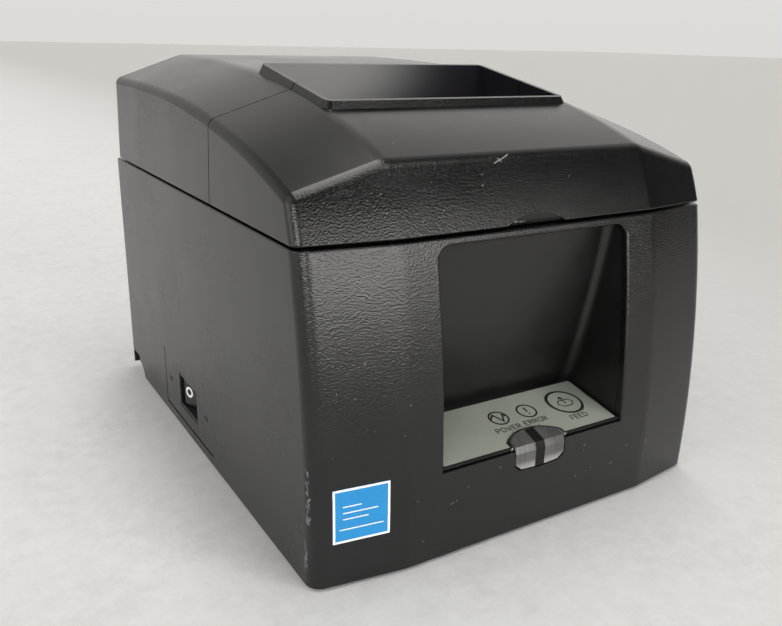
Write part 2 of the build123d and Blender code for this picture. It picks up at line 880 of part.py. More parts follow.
frame_side = side_outline(
    [
        (-62, plate_top),
        (-62, frame_top),
        (platen_cut_y, frame_top),
        (platen_cut_y, platen_cut_z),
        (5, platen_cut_z),
        (5, plate_top + 22),
        (-2, plate_top + 14),
        (-2, plate_top),
    ]
)
with BuildPart() as mechanism_frame:
    for x in both_sides(*frame_x):
        side_plate(frame_side, x)
    for x in both_sides(frame_x[0] + 0.1, 58.0):
        block(x, (-60, -2), (plate_top, plate_top + sheet))
    block((-frame_x[1], frame_x[1]), (-62, -62 + sheet), (40, 92))
    block((-frame_x[1], frame_x[1]), (spring_plate_y - sheet, spring_plate_y), (76.5, 93.5))
    block((-frame_x[1], frame_x[1]), (-61, spring_plate_y - 0.5), (76.5, 76.5 + sheet))
    for x, y in frame_screw_spots:
        post_z(x, y, (plate_top, plate_top + sheet), screw_radius + running_gap, mode=Mode.SUBTRACT)
    rod_x((frame_x[0] - 1, frame_x[1] + 1), motor_y, motor_z, 6.0, mode=Mode.SUBTRACT)
    rod_x((frame_x[0] - 1, frame_x[1] + 1), idler_y, idler_z, stud_radius, mode=Mode.SUBTRACT)
    rod_x((-60, 60), latch_y, latch_z, latch_radius + running_gap, mode=Mode.SUBTRACT)

with BuildPart() as frame_screws:
    screws(frame_screw_spots, plate_top + sheet, plate_low + 0.2, 2.6, screw_radius, 1.4)

with BuildPart() as thermal_head:
    block((-41, 41), (head_face_y - 1.2, head_face_y), (head_low, head_high - 1.5))

with BuildPart() as head_heatsink:
    block((-42, 42), (sink_back_y, head_face_y - 1.2), (head_low, head_high))
    for rib in range(7):
        x = -36 + 12 * rib
        block((x - 3.5, x + 3.5), (sink_back_y - 1, sink_back_y + 2.2), (head_low + 2, head_mid_z - 4.5),
              mode=Mode.SUBTRACT)

spring_radius = 2.8
spring_wire = 0.35
spring_turns = 5
spring_start_y = spring_plate_y + spring_wire + 0.1
spring_length = sink_back_y - spring_start_y - spring_wire - 0.1
with BuildPart() as head_springs:
    for x in spring_spots:
        with BuildLine() as coil:
            Helix(
                spring_length / spring_turns,
                spring_length,
                spring_radius,
                center=(x, spring_start_y, head_mid_z),
                direction=(0, 1, 0),
            )
        with BuildSketch(Plane(origin=coil.line @ 0, z_dir=coil.line % 0)):
            Circle(spring_wire)
        sweep(path=coil.line, is_frenet=True)

with BuildPart() as feed_motor:
    block(
        (frame_x[0] - 24, frame_x[0]),
        (motor_y - motor_side / 2, motor_y + motor_side / 2),
        (motor_z - motor_side / 2, motor_z + motor_side / 2),
    )
    chamfer(feed_motor.edges().filter_by(Axis.X), 3.5)
    rod_x((frame_x[0] - 1, gear_x[1] + 0.8), motor_y, motor_z, hinge_pin)

platen_phase = -90.0
idler_phase = mesh_phase(platen_phase, platen_teeth, idler_teeth, -90.0)
motor_phase = mesh_phase(idler_phase, idler_teeth, motor_teeth, motor_direction)

with BuildPart() as motor_pinion:
    outline = gear_outline(motor_teeth, motor_phase, motor_y, motor_z, hinge_pin + running_gap)
    side_plate(outline, gear_x)

with BuildPart() as idler_gear:
    outline = gear_outline(idler_teeth, idler_phase, idler_y, idler_z, stud_radius + running_gap)
    side_plate(outline, gear_x)

with BuildPart() as idler_stud:
    rod_x((frame_x[0], gear_x[1] + 0.4), idler_y, idler_z, stud_radius)
    rod_x((gear_x[1] + 0.4, gear_x[1] + 1.6), idler_y, idler_z, 3.4)
    rod_x((frame_x[1], gear_x[0] - 0.3), idler_y, idler_z, 3.4)

with BuildPart() as platen_shaft:
    rod_x((-46.8, gear_x[1] + 1.0), platen_y, platen_z, shaft_radius)
    chamfer(platen_shaft.edges().filter_by(GeomType.CIRCLE), 0.4)

with BuildPart() as platen_roller:
    rod_x((-platen_half, platen_half), platen_y, platen_z, platen_radius)
    rod_x((-platen_half, platen_half), platen_y, platen_z, shaft_radius, mode=Mode.SUBTRACT)

with BuildPart() as platen_gear:
    outline = gear_outline(platen_teeth, platen_phase, platen_y, platen_z, shaft_radius)
    side_plate(outline, gear_x)

ear_x = (43.4, 44.6)
bush_x = (43.2, 46.4)
bush_radius = 5.0
holder_y = (0.5, 1.7)
holder_low = 78.6
holder_high = 120.0
holder_spots = [(-24.0, 8.0), (24.0, 8.0)]

with BuildPart() as platen_bushes:
    for x in both_sides(*bush_x):
        rod_x(x, platen_y, platen_z, bush_radius)
        rod_x(x, platen_y, platen_z, shaft_radius + running_gap, mode=Mode.SUBTRACT)

with BuildPart() as platen_holder:
    block((-ear_x[1], ear_x[1]), holder_y, (holder_low, holder_high))
    ear = side_outline(
        [(-14.2, holder_low), (-14.2, 99.5), (-5, 99.5), (holder_y[1], 108), (holder_y[1], holder_low)]
    )
    for x in both_sides(*ear_x):
        side_plate(ear, x)
        rod_x(x, platen_y, platen_z, bush_radius, mode=Mode.SUBTRACT)
    block((-32, 32), (holder_y[0], 14), (holder_high - sheet, holder_high))
    for x, y in holder_spots:
        post_z(x, y, (holder_high - sheet, holder_high), screw_radius + running_gap, mode=Mode.SUBTRACT)

with BuildPart() as holder_screws:
    screws(holder_spots, holder_high - sheet, holder_high + 6, 2.6, screw_radius, 1.4)

# ---- cutter -----------------------------------------------------------------
cutter_floor = (94.5, 94.5 + sheet)
blade_z = (96.0, 97.2)
fixed_blade_z = (97.6, 98.8)
blade_rear = -38.0
blade_front = -22.6
cutter_y = -48.0
rack_x = (-4.0, 0.0)
rack_pitch_z = 98.8
cutter_teeth = 14
cutter_pitch_radius = gear_module * cutter_teeth / 2
cutter_z = rack_pitch_z + cutter_pitch_radius + running_gap
tooth_pitch = pi * gear_module
rack_teeth = 9

with BuildPart() as cutter_frame:
    block((-44.5, 44.5), (-60.5, -24.5), cutter_floor)
    block((-frame_x[0] + 0.05, frame_x[0] - 0.05), (-58, -38), cutter_floor)
    block((-7.9, -6.7), (-57, -39), (cutter_floor[0], 111))
    rod_x((-9, -6), cutter_y, cutter_z, 3.0, mode=Mode.SUBTRACT)
    for x in both_sides(41.6, 43.0):
        block(x, (-40, -24.5), (cutter_floor[0], blade_z[1] + 0.6))

with BuildPart() as cutter_motor:
    rod_x((-36, -7.95), cutter_y, cutter_z, 6.8)
    rod_x((-8, 1.0), cutter_y, cutter_z, 1.0)
    rod_x((-38, -36), cutter_y, cutter_z, 2.5)

with BuildPart() as moving_blade:
    with BuildSketch(Plane.XY.offset(blade_z[0])):
        Polygon(
            (-41, blade_rear),
            (41, blade_rear),
            (41, blade_front),
            (0, blade_front - 3.4),
            (-41, blade_front),
            align=None,
        )
        with Locations((-2, (blade_rear + 1 - 60) / 2)):
            Rectangle(8, 61 + blade_rear)
    extrude(amount=blade_z[1] - blade_z[0])
    rack_root = rack_pitch_z - dedendum * gear_module
    rack_tip = rack_pitch_z + addendum * gear_module
    block(rack_x, (-59.5, -41), (blade_z[1] - 0.1, rack_root))
    half_pitch_tooth = tooth_share * tooth_pitch / 2
    for tooth in range(rack_teeth):
        middle = cutter_y + tooth_pitch * (tooth + 0.5 - rack_teeth + 3)
        lean_out = (rack_pitch_z - rack_root) * tan(pressure_angle)
        lean_in = (rack_tip - rack_pitch_z) * tan(pressure_angle)
        tooth_outline = side_outline(
            [
                (middle - half_pitch_tooth - lean_out, rack_root - 0.05),
                (middle - half_pitch_tooth + lean_in, rack_tip),
                (middle + half_pitch_tooth - lean_in, rack_tip),
                (middle + half_pitch_tooth + lean_out, rack_root - 0.05),
            ]
        )
        side_plate(tooth_outline, rack_x)

with BuildPart() as cutter_pinion:
    side_plate(gear_outline(cutter_teeth, -90.0, cutter_y, cutter_z, 1.0 + running_gap), (-4.2, 0.2))

with BuildPart() as fixed_blade:
    block((-ear_x[0], ear_x[0]), (-16.5, -8.0), fixed_blade_z)
    chamfer(fixed_blade.edges().filter_by(Axis.X).group_by(Axis.Y)[0].sort_by(Axis.Z)[-1], 0.9)

# ---- cover latch --------------------------------------------------------------
hook_x = (45.2, 46.3)
lever_x = (58.0, 62.0)
lever_tab_x = 73.2
lever_tab_z = (86.5, 91.0)
lever_half = 2.5

with BuildPart() as latch_shaft:
    rod_x((-49.6, lever_x[1]), latch_y, latch_z, latch_radius)

with BuildPart() as latch_hooks:
    hook = side_outline(
        [
            (latch_y - 3.4, latch_z - 1.2),
            (latch_y - 3.4, latch_z + 3.0),
            (latch_y + 4.0, latch_z + 12.4),
            (-14.3, latch_z + 12.4),
            (-14.3, latch_z + 9.2),
            (latch_y + 9.0, latch_z + 7.2),
            (latch_y + 3.4, latch_z + 1.0),
            (latch_y + 3.4, latch_z - 1.2),
            (latch_y + 1.2, latch_z - 3.3),
            (latch_y - 1.2, latch_z - 3.3),
        ]
    )
    for x in both_sides(*hook_x):
        side_plate(hook, x)
        rod_x(x, latch_y, latch_z, latch_radius, mode=Mode.SUBTRACT)

with BuildPart() as release_lever:
    block(lever_x, (latch_y - lever_half, latch_y + lever_half), (latch_z, lever_tab_z[1]))
    rod_x(lever_x, latch_y, latch_z, 4.0)
    block((lever_x[0], lever_tab_x), (latch_y - lever_half, latch_y + lever_half), lever_tab_z)
    rod_x(lever_x, latch_y, latch_z, latch_radius, mode=Mode.SUBTRACT)

# ---- covers -------------------------------------------------------------------
rim_front = (-42.6, 125.2)
rim_rear = (5.2, 133.9)
rim_half = 45.0
rim_lip = 1.6
rim_flare = 2.2
rim_forward = 1.4
rim_depth = 5.0
well_low = 101.0
well_slot = (-22.9, -13.4)
well_slot_half = 42.4
well_wall = 1.8
scoop_radius = 22.0
scoop_high = cover_low + 3.1
scoop_y = -83.7
scoop_depth = 0.7

rim_angle = atan2(rim_rear[1] - rim_front[1], rim_rear[0] - rim_front[0])
rim_run = hypot(rim_rear[0] - rim_front[0], rim_rear[1] - rim_front[1])
rim_plane = Plane(
    origin=(0, (rim_front[0] + rim_rear[0]) / 2, (rim_front[1] + rim_rear[1]) / 2),
    x_dir=(1, 0, 0),
    z_dir=(0, -sin(rim_angle), cos(rim_angle)),
)


def funnel(margin, rise, drop):
    """The exit well: from the rim's inner edge down to the slot, grown by margin."""
    with BuildPart() as tapered:
        with BuildSketch(rim_plane.offset(rise)):
            Rectangle(2 * (rim_half - rim_lip + margin), rim_run - 2 * rim_lip + 2 * margin)
        with BuildSketch(Plane.XY.offset(well_low - drop)):
            with Locations((0, (well_slot[0] + well_slot[1]) / 2)):
                Rectangle(2 * (well_slot_half + margin), well_slot[1] - well_slot[0] + 2 * margin)
        loft()
    return tapered.part


with BuildPart() as rim_form:
    with BuildSketch(rim_plane):
        RectangleRounded(2 * rim_half, rim_run, 2.4)
    with BuildSketch(rim_plane.offset(-rim_depth)):
        with Locations((0, -rim_forward)):
            RectangleRounded(2 * (rim_half + rim_flare), rim_run + 2 * rim_flare, 3.4)
    loft()

well_outer = funnel(well_wall, -rim_depth + 1, 0)
well_inner = funnel(0, 0.01, 0.01)

with BuildPart() as cover_shell:
    add(cover_outer)
    add(cover_inner, mode=Mode.SUBTRACT)
    add(rim_form.part)
    add(well_outer)
    add(well_inner, mode=Mode.SUBTRACT)
    for x, y in holder_spots:
        post_z(x, y, (holder_high, 129.5), 3.6)
        post_z(x, y, (holder_high, holder_high + 7), screw_radius + running_gap, mode=Mode.SUBTRACT)

scoop_side = side_outline(
    [
        (front_y - 5, scoop_high),
        (scoop_y, scoop_high),
        (scoop_y + scoop_depth, cover_low - 1),
        (front_y - 5, cover_low - 1),
    ]
)
with BuildPart() as scoop:
    side_plate(scoop_side, (-scoop_radius, scoop_radius))
    rod_y((front_y - 10, front_y + 20), 0, scoop_high - scoop_radius, scoop_radius, mode=Mode.INTERSECT)

with BuildPart() as front_cover:
    add(cover_shell.part)
    block(
        (-2 * half_width, 2 * half_width),
        (2 * front_y, split_y - split_gap / 2),
        (0, 2 * plateau_z),
        mode=Mode.INTERSECT,
    )
    add(scoop.part, mode=Mode.SUBTRACT)

with BuildPart() as rear_cover:
    add(cover_shell.part)
    block(
        (-2 * half_width, 2 * half_width),
        (split_y + split_gap / 2, 2 * rear_y),
        (0, 2 * plateau_z),
        mode=Mode.INTERSECT,
    )
    arm = side_outline(
        [
            (hinge_y - knuckle_radius, hinge_z),
            (hinge_y - knuckle_radius - 1.5, cover_low + 14),
            (rear_foot_y - wall + 0.3, cover_low + 14),
            (rear_foot_y - wall + 0.3, cover_low + 0.1),
            (hinge_y + knuckle_radius * 0.6, hinge_z + knuckle_radius * 0.8),
            (hinge_y, hinge_z),
        ]
    )
    for x in both_sides(*hinge_arm):
        side_plate(arm, x)
        rod_x(x, hinge_y, hinge_z, knuckle_radius)
        rod_x(x, hinge_y, hinge_z, hinge_pin + running_gap, mode=Mode.SUBTRACT)

# ---- paper hopper and near-end sensor --------------------------------------------
hopper_inner = roll_radius + 1.0
hopper_wall = 2.0
hopper_outer = hopper_inner + hopper_wall
hopper_half = 41.0
hopper_front_high = 66.0
hopper_rear_high = 90.0
sensor_slot = (36.5, 45.5)
sensor_slot_z = (32.5, 41.5)
sensor_pivot = (-46.5, 62.0)
sensor_pin = 1.2


def trough_side(radius, high):
    """Side view of the roll trough: a half round with straight walls above."""
    with BuildSketch(Plane.YZ) as outline:
        with BuildLine():
            ThreePointArc((roll_y - radius, roll_z), (roll_y, roll_z - radius), (roll_y + radius, roll_z))
            Polyline(
                (roll_y + radius, roll_z),
                (roll_y + radius, high),
                (roll_y - radius, high),
                (roll_y - radius, roll_z),
            )
        make_face()
    return outline.sketch


with BuildPart() as paper_hopper:
    reach = hopper_half + hopper_wall
    side_plate(trough_side(hopper_outer, hopper_rear_high), (-reach, reach))
    trough_space = trough_side(hopper_inner, hopper_rear_high + 1)
    side_plate(trough_space, (-hopper_half, hopper_half), mode=Mode.SUBTRACT)
    front_cut = side_outline(
        [(-20, hopper_front_high), (6, hopper_front_high), (16, 95), (-20, 95)]
    )
    side_plate(front_cut, (-reach - 1, reach + 1), mode=Mode.SUBTRACT)
    block((-reach - 1, -hopper_half + 1), sensor_slot, sensor_slot_z, mode=Mode.SUBTRACT)

with BuildPart() as sensor_bracket:
    block((-44.6, -reach), (58, 68), (30, 44))
    for z in ((30.5, 33.6), (40.4, 43.5)):
        block((-49.0, -reach), (59.5, 64.5), z)
    post_z(*sensor_pivot, (30, 44), sensor_pin + 0.001, mode=Mode.SUBTRACT)

with BuildPart() as sensor_pin_rod:
    post_z(*sensor_pivot, (30.5, 43.5), sensor_pin)

with BuildPart() as near_end_lever:
    block((-47.4, -46.0), (37.5, 61.0), (34, 40))
    post_z(*sensor_pivot, (34, 40), 1.9)
    with BuildSketch(Plane.XY.offset(34)):
        Polygon((-46.1, 38), (-40.5, 40), (-39.6, 41.0), (-40.5, 42), (-46.1, 44), align=None)
    extrude(amount=6)
    post_z(*sensor_pivot, (33, 41), sensor_pin + running_gap, mode=Mode.SUBTRACT)

with BuildPart() as paper_sensor:
    block((-5, 5), (-8.0, roll_y - hopper_outer), (56, 64))
    chamfer(paper_sensor.edges().filter_by(Axis.X).group_by(Axis.Y)[0], 0.8)

# ---- head cable --------------------------------------------------------------------
cable_width = 20.0
cable_thickness = 0.4
socket_y = (-35.0, -29.0)
socket_high = board_top + 5.0
with BuildPart() as head_cable:
    with BuildSketch(Plane.YZ.offset(-12.0)):
        with BuildLine() as route:
            FilletPolyline(
                (-21.0, head_low), (-21.0, 48.0), (-32.0, 34.0), (-32.0, socket_high), radius=5
            )
        trace(route.line, cable_thickness)
    extrude(amount=cable_width)

with BuildPart() as cable_socket:
    block((-14, 10), socket_y, (board_top, socket_high))

pieces = {
    "main_case": main_case,
    "front_recess": front_recess,
    "control_panel": control_panel,
    "power_light_guide": power_light_guide,
    "error_light_guide": error_light_guide,
    "light_divider": light_divider,
    "feed_button": feed_button,
    "front_label": front_label,
    "switch_body": switch_body,
    "power_rocker": power_rocker,
    "hinge_pins": hinge_pins,
    "bottom_plate": bottom_plate,
    "rubber_feet": rubber_feet,
    "base_screws": base_screws,
    "board_spacers": board_spacers,
    "main_board": main_board,
    "board_screws": board_screws,
    "board_chips": board_chips,
    "board_capacitors": board_capacitors,
    "power_inlet": power_inlet,
    "drawer_jack": drawer_jack,
    "data_connector": data_connector,
    "interface_plate": interface_plate,
    "interface_screws": interface_screws,
    "panel_board": panel_board,
    "status_leds": status_leds,
    "feed_switch": feed_switch,
    "mechanism_frame": mechanism_frame,
    "frame_screws": frame_screws,
    "thermal_head": thermal_head,
    "head_heatsink": head_heatsink,
    "head_springs": head_springs,
    "feed_motor": feed_motor,
    "motor_pinion": motor_pinion,
    "idler_gear": idler_gear,
    "idler_stud": idler_stud,
    "platen_shaft": platen_shaft,
    "platen_roller": platen_roller,
    "platen_gear": platen_gear,
    "platen_bushes": platen_bushes,
    "platen_holder": platen_holder,
    "holder_screws": holder_screws,
    "cutter_frame": cutter_frame,
    "cutter_motor": cutter_motor,
    "moving_blade": moving_blade,
    "cutter_pinion": cutter_pinion,
    "fixed_blade": fixed_blade,
    "latch_shaft": latch_shaft,
    "latch_hooks": latch_hooks,
    "release_lever": release_lever,
    "front_cover": front_cover,
    "rear_cover": rear_cover,
    "paper_hopper": paper_hopper,
    "sensor_bracket": sensor_bracket,
    "sensor_pin": sensor_pin_rod,
    "near_end_lever": near_end_lever,
    "paper_sensor": paper_sensor,
    "head_cable": head_cable,
    "cable_socket": cable_socket,
}
for name, piece in pieces.items():
    finish(piece, name)
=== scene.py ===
import json
import math
import random

import bmesh
import bpy
from mathutils import Matrix, Vector
from mathutils.bvhtree import BVHTree


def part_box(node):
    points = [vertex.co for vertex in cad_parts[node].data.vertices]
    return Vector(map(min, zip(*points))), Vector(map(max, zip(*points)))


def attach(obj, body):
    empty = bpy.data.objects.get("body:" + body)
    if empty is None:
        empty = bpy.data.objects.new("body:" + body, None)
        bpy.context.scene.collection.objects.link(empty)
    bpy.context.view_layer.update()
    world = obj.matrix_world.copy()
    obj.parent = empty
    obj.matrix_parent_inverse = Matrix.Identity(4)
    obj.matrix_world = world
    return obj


MM = 0.001
SPAN_LIMITS = ("From Min", "From Max", "To Min", "To Max")
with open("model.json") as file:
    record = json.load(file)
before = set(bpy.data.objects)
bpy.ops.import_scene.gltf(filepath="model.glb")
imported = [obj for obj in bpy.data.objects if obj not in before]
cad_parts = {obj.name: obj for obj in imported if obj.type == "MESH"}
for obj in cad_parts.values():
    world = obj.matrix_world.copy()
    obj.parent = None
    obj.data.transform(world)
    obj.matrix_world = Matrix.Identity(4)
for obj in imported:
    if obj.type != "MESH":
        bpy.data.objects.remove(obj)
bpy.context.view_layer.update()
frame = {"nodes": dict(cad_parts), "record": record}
nodes = frame["nodes"]


# ---- node graphs for the materials ------------------------------------------
class Graph:
    """A material with one Principled shader and short calls to wire nodes into it.

    Scales are per metre and bump distances in metres; colours are linear.
    """

    def __init__(self, name):
        self.material = bpy.data.materials.new(name)
        self.material.use_nodes = True
        self.tree = self.material.node_tree
        self.shader = self.tree.nodes["Principled BSDF"]
        self.place = self.tree.nodes.new("ShaderNodeTexCoord").outputs["Object"]

    def set(self, **values):
        for name, value in values.items():
            self.shader.inputs[name.replace("_", " ")].default_value = value

    def plug(self, socket, source):
        if isinstance(source, bpy.types.NodeSocket):
            self.tree.links.new(source, socket)
        else:
            socket.default_value = source

    def noise(self, scale, detail=4.0, rough=0.55, vector=None):
        node = self.tree.nodes.new("ShaderNodeTexNoise")
        self.plug(node.inputs["Vector"], vector or self.place)
        node.inputs["Scale"].default_value = scale
        node.inputs["Detail"].default_value = detail
        node.inputs["Roughness"].default_value = rough
        return node.outputs["Fac"]

    def cells(self, scale, feature, scatter=1.0):
        node = self.tree.nodes.new("ShaderNodeTexVoronoi")
        node.feature = feature
        self.plug(node.inputs["Vector"], self.place)
        node.inputs["Scale"].default_value = scale
        node.inputs["Randomness"].default_value = scatter
        return node.outputs["Distance"]

    def math(self, operation, a, b):
        node = self.tree.nodes.new("ShaderNodeMath")
        node.operation = operation
        for socket, source in zip(node.inputs, (a, b)):
            self.plug(socket, source)
        return node.outputs[0]

    def add(self, a, b):
        return self.math("ADD", a, b)

    def times(self, a, b):
        return self.math("MULTIPLY", a, b)

    def less(self, a, b):
        return self.math("SUBTRACT", a, b)

    def span(self, value, low, high, to_low=0.0, to_high=1.0):
        """The value carried smoothly from one range to another, and held at its ends."""
        node = self.tree.nodes.new("ShaderNodeMapRange")
        node.interpolation_type = "SMOOTHSTEP"
        self.plug(node.inputs["Value"], value)
        for name, limit in zip(SPAN_LIMITS, (low, high, to_low, to_high)):
            node.inputs[name].default_value = limit
        return node.outputs["Result"]

    def mix(self, factor, a, b):
        node = self.tree.nodes.new("ShaderNodeMix")
        node.data_type = "RGBA"
        self.plug(node.inputs["Factor"], factor)
        for socket, color in ((node.inputs["A"], a), (node.inputs["B"], b)):
            if isinstance(color, bpy.types.NodeSocket):
                self.tree.links.new(color, socket)
            else:
                socket.default_value = (*color, 1.0)
        return node.outputs["Result"]

    def bump(self, height, strength, distance, onto=None):
        node = self.tree.nodes.new("ShaderNodeBump")
        node.inputs["Strength"].default_value = strength
        node.inputs["Distance"].default_value = distance
        self.plug(node.inputs["Height"], height)
        if onto is not None:
            self.tree.links.new(onto, node.inputs["Normal"])
        return node.outputs["Normal"]

    def stretched(self, scale, turn=(0, 0, 0)):
        """Object coordinates scaled by axis, then turned by angles in radians."""
        node = self.tree.nodes.new("ShaderNodeMapping")
        self.tree.links.new(self.place, node.inputs["Vector"])
        node.inputs["Scale"].default_value = scale
        node.inputs["Rotation"].default_value = turn
        return node.outputs["Vector"]

    def parts(self, vector):
        node = self.tree.nodes.new("ShaderNodeSeparateXYZ")
        self.plug(node.inputs[0], vector)
        return node.outputs

    def within(self, box):
        """One inside a box in the object's frame and nought outside it."""
        inside = None
        for axis, (low, high) in zip(self.parts(self.place), box):
            here = self.times(self.math("GREATER_THAN", axis, low), self.math("LESS_THAN", axis, high))
            inside = here if inside is None else self.times(inside, here)
        return inside

    def output(self, color, rough, normal):
        for name, source in (("Base Color", color), ("Roughness", rough), ("Normal", normal)):
            self.tree.links.new(source, self.shader.inputs[name])
        return self.material


def casing_plastic(name, tint, grain, satin, polished=None):
    """Black moulded casing: leather grain on its front, nearly smooth on its sides and top, light wear.

    Inside the polished box, in metres, the same plastic is smooth and glossy.
    """
    g = Graph(name)
    facing = g.parts(g.tree.nodes.new("ShaderNodeTexCoord").outputs["Normal"])
    to_front = g.span(g.times(facing[1], -1.0), 0.35, 0.80)
    to_top = g.span(facing[2], 0.80, 0.97)
    inside = g.within(polished) if polished is not None else 0.0
    outside = g.less(1.0, inside)

    # Grain: half-millimetre pebbles with creases between them, full on the front and faint elsewhere.
    pebbles = g.cells(2200.0, "SMOOTH_F1")
    creases = g.noise(2100.0, 2.0, 0.5)
    speckle = g.noise(4200.0, 2.0, 0.5)
    height = g.add(pebbles, g.times(creases, 0.40))
    height = g.times(height, g.span(to_front, 0.0, 1.0, 0.22, 1.0))
    height = g.add(height, g.times(speckle, 0.12))
    height = g.times(height, outside)
    normal = g.bump(height, grain, 0.00014)
    normal = g.bump(g.noise(11.0, 2.0, 0.5), 0.05, 0.001, onto=normal)

    # Handling: cloudy sheen, long pale drags and a few specks of dust.
    cloud = g.noise(32.0, 5.0, 0.6)
    smears = g.noise(1.0, 5.0, 0.65, vector=g.stretched((140.0, 20.0, 70.0), (0.3, 0.2, 0.9)))
    drags = g.noise(1.0, 4.0, 0.7, vector=g.stretched((30.0, 260.0, 18.0), (0.1, 0.0, 0.05)))
    motes = g.math("LESS_THAN", g.cells(420.0, "F1"), 0.055)
    motes = g.times(motes, g.span(g.noise(55.0, 3.0, 0.6), 0.56, 0.66))
    color = g.mix(g.span(cloud, 0.3, 0.7), tint, [c * 1.4 + 0.0006 for c in tint])
    color = g.mix(g.span(drags, 0.62, 0.80, 0.0, 0.010), color, (0.25, 0.25, 0.24))
    color = g.mix(g.times(motes, 0.30), color, (0.30, 0.30, 0.29))

    rough = g.span(cloud, 0.25, 0.8, satin - 0.03, satin + 0.04)
    rough = g.add(rough, g.span(smears, 0.55, 0.8, 0.0, 0.05))
    rough = g.add(rough, g.times(to_top, -0.03))
    rough = g.add(rough, g.times(to_front, -0.04))
    if polished is not None:
        rough = g.add(g.times(rough, outside), g.times(inside, 0.11))
        color = g.mix(inside, color, (0.006, 0.0055, 0.008))
    return g.output(color, rough, normal)


def plain_plastic(name, tint, satin, grain=0.1, scale=1500.0, specular=0.5):
    """Moulded plastic with a fine even texture and slight colour and gloss variation."""
    g = Graph(name)
    cloud = g.noise(45.0, 4.0, 0.6)
    color = g.mix(g.span(cloud, 0.3, 0.7), tint, [min(1.0, c * 1.12 + 0.001) for c in tint])
    normal = g.bump(g.noise(scale, 3.0, 0.6), grain, 0.0001)
    rough = g.span(g.noise(90.0, 3.0), 0.3, 0.7, satin - 0.04, satin + 0.05)
    g.set(Specular_IOR_Level=specular)
    return g.output(color, rough, normal)


def metal(name, tint, satin, streak=(30.0, 900.0, 900.0)):
    """Metal with faint drawing or grinding lines and small stains."""
    g = Graph(name)
    lines = g.noise(1.0, 3.0, 0.6, vector=g.stretched(streak))
    stains = g.noise(60.0, 4.0, 0.6)
    color = g.mix(g.span(stains, 0.35, 0.75), tint, [c * 0.82 for c in tint])
    rough = g.span(lines, 0.3, 0.7, satin - 0.06, satin + 0.06)
    rough = g.add(rough, g.span(stains, 0.5, 0.8, 0.0, 0.06))
    normal = g.bump(lines, 0.12, 0.00008)
    g.set(Metallic=1.0)
    return g.output(color, rough, normal)


def circuit_board(name):
    """Green solder mask with tracks, pads and a faint weave under it."""
    g = Graph(name)
    tracks = g.cells(260.0, "DISTANCE_TO_EDGE", scatter=0.35)
    on_track = g.math("LESS_THAN", tracks, 0.06)
    pads = g.math("LESS_THAN", g.cells(330.0, "F1", scatter=0.2), 0.16)
    color = g.mix(g.times(on_track, 0.6), (0.012, 0.11, 0.045), (0.03, 0.20, 0.08))
    color = g.mix(pads, color, (0.62, 0.60, 0.50))
    normal = g.bump(g.add(on_track, g.noise(1800.0)), 0.25, 0.00006)
    return g.output(color, g.span(pads, 0.0, 1.0, 0.32, 0.45), normal)


def rubber(name, tint):
    """Dull moulded rubber with a fine skin."""
    g = Graph(name)
    color = g.mix(g.span(g.noise(70.0), 0.3, 0.7), tint, [c * 1.4 + 0.004 for c in tint])
    normal = g.bump(g.noise(1400.0, 4.0, 0.7), 0.25, 0.0001)
    return g.output(color, g.span(g.noise(120.0), 0.3, 0.7, 0.62, 0.78), normal)


def smoke_clear(name):
    """Smoke-tinted light guide with upright flow lines, and a painted highlight making its bottom edge
    paler.
    """
    g = Graph(name)
    lip_highlight_low, lip_highlight_high = 0.0218, 0.0246
    flow = g.noise(1.0, 3.0, 0.6, vector=g.stretched((520.0, 60.0, 30.0)))
    tint = g.mix(g.span(flow, 0.35, 0.65), (0.10, 0.099, 0.099), (0.135, 0.134, 0.133))
    # Painted highlight: the bottom edge of the guide is mixed towards pale grey.
    lip_highlight = g.span(g.parts(g.place)[2], lip_highlight_low, lip_highlight_high, 1.0, 0.0)
    tint = g.mix(g.times(lip_highlight, 0.7), tint, (0.50, 0.50, 0.49))
    normal = g.bump(flow, 0.12, 0.0002)
    g.set(Transmission_Weight=0.30, IOR=1.49)
    return g.output(tint, g.span(g.noise(200.0), 0.3, 0.7, 0.10, 0.18), normal)


